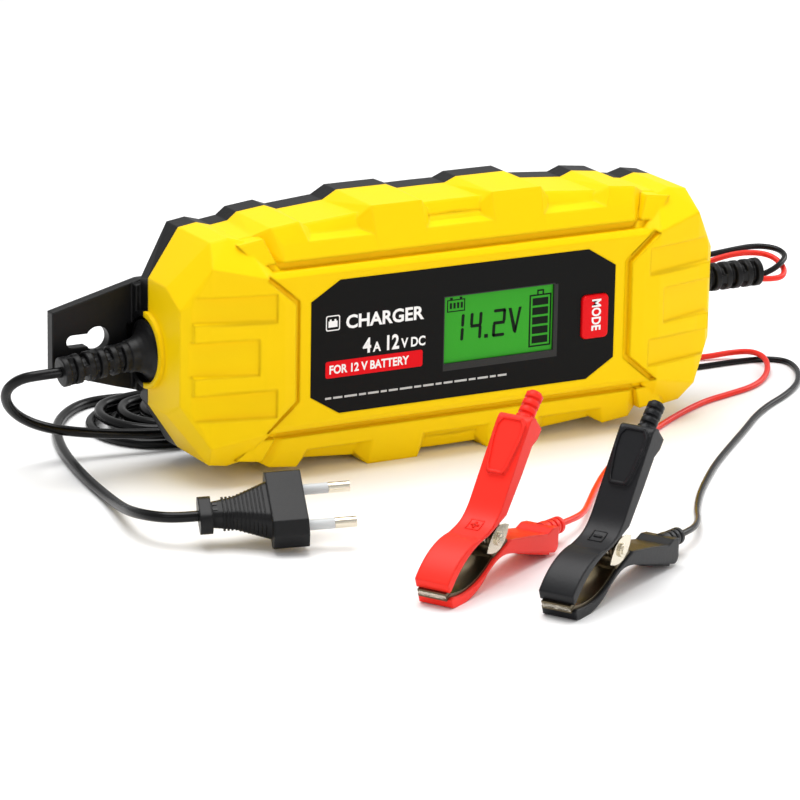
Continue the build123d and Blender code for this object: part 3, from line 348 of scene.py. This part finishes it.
def add_display(paints):
    """Dark segments on the display, behind the label's face, and the word on the button."""
    art = label_stack()
    low, high = -1.1, -1.0
    digit(art, "bc", -5.4, -4.5, 5.0, 11.0, low, high)
    digit(art, "fgbc", 2.3, -4.5, 5.2, 11.0, low, high)
    art.box(9.0, 10.6, -4.4, -2.9, low, high)
    digit(art, "abged", 12.4, -4.5, 5.6, 11.0, low, high)
    art.prism([(19.6, 6.3), (20.9, 6.3), (23.1, -2.2), (22.4, -3.9), (21.8, -3.2)], low, high)
    art.prism([(24.2, 6.3), (25.4, 6.3), (23.1, -3.9), (22.4, -3.9), (22.6, -1.6)], low, high)
    # battery gauge: outline, terminal and five bars
    art.ring([(28.9, -10.6), (38.7, -10.6), (38.7, 10.4), (28.9, 10.4)],
             [(29.5, -10.0), (38.1, -10.0), (38.1, 9.8), (29.5, 9.8)], low, high)
    art.ring([(32.3, 10.3), (35.3, 10.3), (35.3, 12.2), (32.3, 12.2)],
             [(32.9, 10.3), (34.7, 10.3), (34.7, 11.6), (32.9, 11.6)], low, high)
    for i in range(5):
        bottom = -9.2 + 3.8 * i
        art.box(30.3, 37.3, bottom, bottom + 2.9, low, high)
    # small battery at the top left
    art.ring([(-7.7, 7.6), (0.2, 7.6), (0.2, 12.5), (-7.7, 12.5)],
             [(-7.3, 8.0), (-0.2, 8.0), (-0.2, 12.1), (-7.3, 12.1)], low, high)
    art.box(-6.4, -5.3, 12.5, 13.3, low, high)
    art.box(-2.2, -1.1, 12.5, 13.3, low, high)
    for i in range(4):
        art.box(-6.5 + 1.6 * i, -5.6 + 1.6 * i, 8.9, 11.2, low, high)
    art.finish("display_art", paints["print_dark"], "lcd_green")
    words("button_words", "MODE", 5.6, 56.0, 6.3, 1.32, paints["print_white"],
          down=True, wide=0.80, body="mode_key")


# ---------------------------------------------------------------- cords
MAINS_START = [(-156.25, 12.6, 43.38), (-164.6, 13.2, 43.2), (-171.2, 17.8, 41.2), (-174.0, 24.0, 35.6),
               (-171.0, 30.0, 28.0), (-163.5, 34.5, 20.6), (-152.5, 37.5, 14.6), (-139.0, 38.2, 10.8),
               (-124.0, 36.2, 8.6), (-108.0, 34.0, 7.3), (-95.0, 32.5, 7.0)]
MAINS_END = [(-68.0, 93.4, 2.2), (-82.4, 98.0, 2.0), (-95.0, 101.0, 2.0), (-107.0, 99.8, 2.0),
             (-118.5, 91.0, 2.0), (-128.0, 78.6, 2.0), (-135.3, 63.0, 2.0), (-141.3, 44.0, 2.0),
             (-145.6, 24.0, 2.0), (-148.6, 5.0, 2.0), (-150.5, -12.0, 2.2), (-153.0, -28.0, 3.4),
             (-156.0, -42.0, 5.6), (-158.5, -55.0, 8.2), (-158.2, -65.0, 9.9), (-155.5, -71.5, 10.6),
             (-150.34, -76.24, 11.0), (-143.3, -78.8, 11.4)]
RED_START = [(155.1, 11.4, 45.3), (162.5, 11.3, 44.3), (169.0, 13.5, 44.4), (172.6, 19.0, 46.6),
             (171.5, 26.5, 49.8), (165.5, 32.0, 50.6), (156.0, 34.5, 50.0), (145.0, 38.0, 46.5),
             (137.5, 45.0, 39.0), (132.5, 54.0, 28.0), (129.0, 63.0, 16.0), (127.0, 72.0, 7.0),
             (126.0, 82.0, 3.7)]
RED_END = [(108.0, 64.0, 1.2), (119.0, 63.5, 1.2), (132.0, 59.5, 1.2), (145.0, 54.5, 1.3),
           (158.0, 51.8, 1.5), (168.0, 50.0, 2.6), (174.0, 43.5, 4.2), (174.5, 34.0, 4.4),
           (171.0, 25.0, 2.6), (163.0, 15.5, 1.2), (151.5, 6.5, 1.2), (137.0, 1.6, 1.2),
           (122.0, -3.0, 1.2), (105.0, -12.6, 1.2), (88.0, -24.0, 1.2), (71.0, -36.6, 1.2),
           (53.4, -50.8, 1.2), (35.0, -68.5, 1.2), (20.0, -86.0, 1.2), (7.0, -103.0, 2.2),
           (-3.5, -117.0, 4.2), (-13.14, -125.85, 5.79), (-22.64, -131.34, 6.56)]
BLACK_START = [(155.1, 14.0, 45.3), (162.5, 14.5, 46.6), (169.8, 17.0, 48.9), (175.8, 22.5, 50.4),
               (175.6, 30.2, 51.8), (168.5, 35.6, 52.2), (158.0, 38.5, 50.6), (144.0, 41.0, 48.5),
               (128.0, 42.5, 44.5), (113.0, 45.5, 38.0), (100.5, 50.5, 28.0), (91.5, 56.0, 15.0),
               (86.0, 61.0, 6.0), (84.0, 68.0, 3.7)]
BLACK_END = [(66.0, 50.0, 1.2), (80.0, 49.6, 1.2), (97.0, 47.0, 1.2), (114.0, 43.5, 1.2),
             (131.0, 41.3, 1.2), (148.0, 41.0, 1.2), (164.0, 41.5, 1.2), (178.0, 40.3, 1.2),
             (185.5, 34.0, 1.2), (183.5, 23.0, 1.2), (177.0, 11.0, 1.2), (168.0, 0.0, 1.2),
             (156.0, -10.0, 1.2), (142.0, -19.0, 1.2), (129.0, -29.5, 1.2), (116.5, -42.0, 1.2),
             (99.0, -58.6, 1.2), (80.4, -76.5, 1.2), (65.5, -93.0, 1.2), (52.0, -109.0, 1.2),
             (39.5, -127.0, 2.0), (29.5, -144.0, 4.2), (19.36, -155.85, 5.79), (9.86, -161.34, 6.56)]
MAINS_D, LEAD_D = 4.0, 2.4
COIL_POINTS = 20            # control points in each turn


def loop_point(mid, straight, radius, angle):
    """A point of a loop of two half circles joined by straight runs; angle 0 is its right end."""
    shift = straight / 2 * max(-1.0, min(1.0, 2.2 * cos(angle)))
    return mid[0] + shift + radius * cos(angle), mid[1] + radius * sin(angle)


def coil_turns(mid, loop_in, loop_out, diameter, begin, turns, ends=None):
    """Two layers of turns: inwards on the top layer from angle begin, then outwards on the lower.

    A loop is its straight run and its radius; ends is the last loop, where it isn't the first."""
    points = []
    count = round(turns * COIL_POINTS)
    for i in range(1, count):
        share = i / count
        inward = abs(2 * share - 1)
        outer = loop_out if share < 0.5 or not ends else ends
        if share > 0.5 and ends:
            inward = 1 - (1 - inward) ** 1.4
        drop = max(0.0, min(1.0, (share - 0.5) * turns * 1.6 + 0.5))
        height = diameter * (0.5 + 1.04 * (1 - drop * drop * (3 - 2 * drop)))
        straight, radius = (small + (large - small) * inward for small, large in zip(loop_in, outer))
        x, y = loop_point(mid, straight, radius, begin + 2 * pi * turns * share)
        points.append((x, y, height))
    return points


def cord_curve(name, points, diameter, material, replaced):
    """One open, smooth spline through a cord's whole route, as round as the cord."""
    curve = bpy.data.curves.new(name, "CURVE")
    curve.dimensions = "3D"
    curve.bevel_depth = diameter / 2 * MM
    curve.bevel_resolution = 5
    curve.resolution_u = 8
    curve.use_fill_caps = True
    spline = curve.splines.new("NURBS")
    spline.points.add(len(points) - 1)
    for spot, (x, y, z) in zip(spline.points, points):
        spot.co = (x * MM, y * MM, z * MM, 1.0)
    spline.order_u = 3
    spline.use_endpoint_u = True
    cord = bpy.data.objects.new(name, curve)
    bpy.context.scene.collection.objects.link(cord)
    curve.materials.append(material)
    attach(cord, "charger")
    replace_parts(cord, *replaced)
    return cord


def add_cords(paints):
    """Each cord on one spline: from its gland, through its coil, to the plug or a clamp."""
    turns = coil_turns((-67.0, 62.0), (16.0, 16.0), (50.0, 29.5), MAINS_D, 1.5 * pi, 6.5, (50.0, 31.4))
    cord = cord_curve("mains_cord", MAINS_START + turns + MAINS_END, MAINS_D, paints["black_cable"],
                      ["mains_cord_start", "mains_cord_coil", "mains_cord_end"])
    for color, start, end, mid, count in (("red", RED_START, RED_END, (108.0, 82.0), 5.75),
                                          ("black", BLACK_START, BLACK_END, (66.0, 68.0), 4.75)):
        turns = coil_turns(mid, (0.0, 10.9), (0.0, 18.0), LEAD_D, 0.0, count)
        cord = cord_curve(f"{color}_lead", start + turns + end, LEAD_D, paints[f"{color}_cable"],
                          [f"{color}_lead_{part}" for part in ("start", "coil", "end")])


# ---------------------------------------------------------------- clamp and plug details
CLAMP_HEADING, CLAMP_AXIS = 30.0, 20.0
CLAMP_NOSES = {"red": (-100.0, -176.0), "black": (-67.5, -206.0)}
NOSE_HEIGHT = 5.0
PIVOT = 36.0                # from the nose to the pin
LEAF_AT = 6.21              # from the middle of a clamp to its ear plates
SPRING_LOW, SPRING_PITCH = -3.25, 1.3


def clamp_stack(color, s, t, heading_t, side):
    """A plane on a clamp, s back from the nose and t off its axis, on the upper or lower side.

    Its up runs along heading_t towards the boot, and its out away from the axis."""
    heading, rise = radians(CLAMP_HEADING), radians(CLAMP_AXIS)
    nose = CLAMP_NOSES[color]
    along = Vector((cos(heading) * cos(rise), sin(heading) * cos(rise), sin(rise)))
    aside = Vector((sin(heading), -cos(heading), 0.0))
    upward = aside.cross(along)
    origin = (Vector((*nose, NOSE_HEIGHT)) + along * s + upward * (side * t)) * MM
    up = (along * heading_t[0] + upward * (side * heading_t[1])).normalized()
    out = (upward * (side * heading_t[0]) - along * heading_t[1]).normalized()
    return Stack(origin, aside, up, out)


def side_stack(color, s, toward=1):
    """A clamp's side view: along its axis, away from it, and towards one of its sides."""
    view = clamp_stack(color, s, 0.0, (1.0, 0.0), 1)
    view.across, view.up, view.out = view.up, view.out, view.across * toward
    return view


def add_clamp_details(paints):
    """Rims round the thumb pads, polarity signs, ear plates and toothed lips."""
    rim_out = [(-3.2, -11.0), (-4.2, -9.0), (-6.0, 3.0), (-6.0, 8.0), (-4.2, 10.5), (4.2, 10.5),
               (6.0, 8.0), (6.0, 3.0), (4.2, -9.0), (3.2, -11.0)]
    rim_in = [(x * 0.80, y * 0.90) for x, y in rim_out]
    grip = Vector((25.0, 17.4)).normalized()
    for color in ("red", "black"):
        for half, side in (("upper", 1), ("lower", -1)):
            body = f"{color}_clamp_top" if side == 1 else "charger"
            rim = clamp_stack(color, 42.5 + 21.0 * grip.x, 11.0 + 21.0 * grip.y, grip, side)
            rim.ring(rim_out, rim_in, 0.85, 1.45 if side == 1 else 0.93)
            rim.finish(f"{color}_{half}_pad_rim", paints[f"{color}_grip"], f"{color}_grip", body)
            sign = clamp_stack(color, 32.4, 7.14, (1.0, 0.03), side)
            square = [(-2.8, -2.8), (2.8, -2.8), (2.8, 2.8), (-2.8, 2.8)]
            sign.ring(square, [(x * 0.86, y * 0.86) for x, y in square], -0.7, 0.25)
            sign.box(-1.6, 1.6, -0.4, 0.4, -0.7, 0.3)
            if color == "red":
                sign.box(-0.4, 0.4, -1.6, 1.6, -0.7, 0.3)
            sign.finish(f"{color}_{half}_sign", paints[f"{color}_grip"], f"{color}_grip", body)
            plate = side_stack(color, 0.0, side)
            leaf = [(27.5, -0.6), (30.0, 1.9), (33.0, 3.7), (36.0, 4.4), (39.0, 4.1), (41.5, 2.9),
                    (44.0, 0.8), (42.0, -1.6), (39.5, -3.4), (36.0, -4.4), (33.0, -4.0), (30.0, -2.6)]
            plate.prism(leaf, LEAF_AT, LEAF_AT + 0.2)
            plate.finish(f"{color}_{half}_ear_plate", paints["nickel_steel"], "nickel_steel")
            lip = clamp_stack(color, -0.8, 0.2, (1.0, 0.0), side)
            for i in range(8):
                left = -5.6 + 1.4 * i
                lip.prism([(left, 0.0), (left + 1.4, 0.0), (left + 1.0, 2.6), (left + 0.4, 2.6)],
                          -0.15, 0.6)
            lip.finish(f"{color}_{half}_teeth", paints["teeth"], "nickel_steel", body)


def lathe(stack, profile, steps=40):
    """A round shape about the stack's out axis; the profile is (height, radius), closed by its ends."""
    first = len(stack.points)
    for height, radius in profile:
        for k in range(steps):
            angle = 2 * pi * k / steps
            stack.points.append(stack.place(radius * cos(angle), radius * sin(angle), height))
    for i in range(len(profile) - 1):
        for k in range(steps):
            j = (k + 1) % steps
            low, high = first + i * steps, first + (i + 1) * steps
            stack.faces.append([low + k, low + j, high + j, high + k])
    stack.faces.append([first + k for k in range(steps)])
    stack.faces.append([first + (len(profile) - 1) * steps + k for k in range(steps)])


def add_springs(paints):
    """Each clamp's torsion spring, split at the pin: its upper leg turns with the upper handle."""
    for color in ("red", "black"):
        for side, low in ((-1, SPRING_LOW), (1, SPRING_LOW + 4 * SPRING_PITCH)):
            spring = side_stack(color, PIVOT)
            for leg in ([(0.5, 2.2), (0.5, 3.2), (7.0, 4.2), (7.6, 3.4)],
                        [(7.0, 4.2), (15.0, 8.0), (15.0, 6.9), (7.6, 3.4)]):
                spring.prism([(x, side * y) for x, y in leg], low, low + 1.0)
            steel = paints["nickel_steel"], "nickel_steel"
            if side == 1:
                spring.finish(f"{color}_spring_leg", *steel, f"{color}_clamp_top")
                continue
            coil = []
            for i in range(5):
                start = SPRING_LOW + SPRING_PITCH * i
                coil += [(start, 2.9), (start + 0.2, 3.3), (start + 0.8, 3.3), (start + 1.0, 2.9)]
            lathe(spring, coil, 24)
            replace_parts(spring.finish(f"{color}_spring_coil", *steel), f"{color}_clamp_spring")


def add_glands(paints):
    """Cable glands: a trumpet that flares to the collar, then slotted rings round a core."""
    for name, side, droop, reach in (("mains_gland", -1, 6.0, 153.4), ("dc_gland", 1, 0.0, 158.0)):
        down = radians(droop)
        axis = Vector((side * cos(down), 0.0, -sin(down)))
        total = (reach - 117.1) / cos(down) + 9.0
        rings_from = total - 27.7
        back = Vector((0, 1, 0))
        gland = Stack(at(side * 108.1, 37.5, -3.0), back, axis.cross(back), axis)
        lathe(gland, [(0.0, 10.6), (6.3, 10.6), (6.5, 12.6), (9.4, 12.7), (9.9, 12.2), (10.4, 10.6),
                      (11.4, 8.9), (12.8, 7.6), (14.6, 6.7), (rings_from, 6.2), (rings_from + 0.1, 3.6)])
        lathe(gland, [(rings_from - 0.5, 3.7), (total - 0.2, 3.7)], 28)
        for i in range(6):
            low = rings_from + 5.0 * i
            lathe(gland, [(low, 5.3), (low + 0.3, 5.75), (low + 2.4, 5.75), (low + 2.7, 5.3)])
            if i < 5:
                wide, tall = (5.3, 1.7) if i % 2 else (1.7, 5.3)
                gland.box(-wide, wide, -tall, tall, low + 2.6, low + 5.1)
        piece = gland.finish(name + "_shape", paints["black_housing"], "black_housing")
        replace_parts(piece, name)


PLUG_TAIL = (-143.3, -78.8, 11.4)
PLUG_TURN, PLUG_TILT, PLUG_PITCH = 20.0, 28.0, 3.0


def plug_stack(along):
    """A plane across the plug: across is its wide side, out points to its pins."""
    turn, tilt, pitch = radians(PLUG_TURN), radians(PLUG_TILT), radians(PLUG_PITCH)
    axis = Vector((cos(turn) * cos(pitch), -sin(turn) * cos(pitch), sin(pitch)))
    level = Vector((sin(turn), cos(turn), 0.0))
    across = level * cos(tilt) + axis.cross(level) * sin(tilt)
    return Stack((Vector(PLUG_TAIL) + axis * along) * MM, across, axis.cross(across), axis)


def add_plug_details(paints):
    """Grip ribs round the plug's taper, darker blocks as painted shade of the slots in its tail, and the
    ends of its pins.
    """
    for i in range(11):
        along = 8.9 + 1.45 * i
        share = max(0.0, (along - 13.0) / 12.5)
        half_x, half_y = 6.0 + 5.0 * share + 0.16, 4.5 + 1.8 * share + 0.16
        rib = plug_stack(along)
        rib.prism(rounded(-half_x, half_x, -half_y, half_y, min(half_x, half_y) * 0.72), -0.33, 0.33)
        rib.finish(f"plug_rib_{i}", paints["black_housing"], "black_housing")
    # darker blocks where the tail's slots are: painted shade of the slots
    slot_shade = plug_stack(5.9)
    for x in (-1.3, 1.3):
        slot_shade.box(x - 0.6, x + 0.6, 3.9, 4.3, -0.9, 0.9)
        slot_shade.box(x - 0.6, x + 0.6, -4.3, -3.9, -0.9, 0.9)
    slot_shade.finish("plug_slot_shade", paints["black_cable"], "black_housing")
    tips = plug_stack(56.5)
    radius = 1.75
    for x in (-9.0, 9.0):
        tips.prism([(x + radius * cos(pi * k / 8), radius * sin(pi * k / 8)) for k in range(16)],
                   -0.1, 0.0)
    tips.finish("plug_pin_tips", paints["nickel_steel"], "nickel_steel")


# ---------------------------------------------------------------- studio
def add_floor():
    bpy.ops.mesh.primitive_plane_add(size=9.0, location=(0, 0, 0))
    floor = bpy.context.object
    floor.name = "floor"
    paint(floor, made("floor", (0.90, 0.90, 0.90), 0.62, 80.0, 0.02, shade=0.01))


def add_light(name, place, aim, size, power):
    data = bpy.data.lights.new(name, "AREA")
    data.shape, data.size = "DISK", size
    data.energy = power
    light = bpy.data.objects.new(name, data)
    light.location = place
    light.rotation_euler = (Vector(aim) - Vector(place)).to_track_quat("-Z", "Y").to_euler()
    bpy.context.scene.collection.objects.link(light)


def add_lights():
    """An even white studio: the world, and soft lights above, in front and at both sides."""
    world = bpy.data.worlds.new("studio")
    world.use_nodes = True
    backdrop = world.node_tree.nodes["Background"]
    backdrop.inputs["Color"].default_value = (1.0, 1.0, 1.0, 1.0)
    backdrop.inputs["Strength"].default_value = 0.57
    bpy.context.scene.world = world
    add_light("top", (-0.1, 0.1, 1.3), (0, 0, 0), 1.2, 17.0)
    add_light("left", (-1.2, -0.7, 0.8), (0, 0, 0.05), 0.8, 1.0)
    add_light("front", (0.1, -1.6, 0.40), (0, 0, 0.04), 0.9, 5.5)
    add_light("right", (1.3, 0.2, 0.7), (0, 0, 0.05), 0.8, 6.0)
    bpy.context.scene.view_settings.view_transform = "Standard"


def main():
    paints = make_materials()
    add_camera()
    add_cords(paints)
    for name, node in nodes.items():
        paint(node, paints["jaw_steel" if name.endswith("jaw") else slot_of(name)])
    add_label(paints)
    add_display(paints)
    add_clamp_details(paints)
    add_plug_details(paints)
    add_glands(paints)
    add_springs(paints)
    add_floor()
    add_lights()


main()
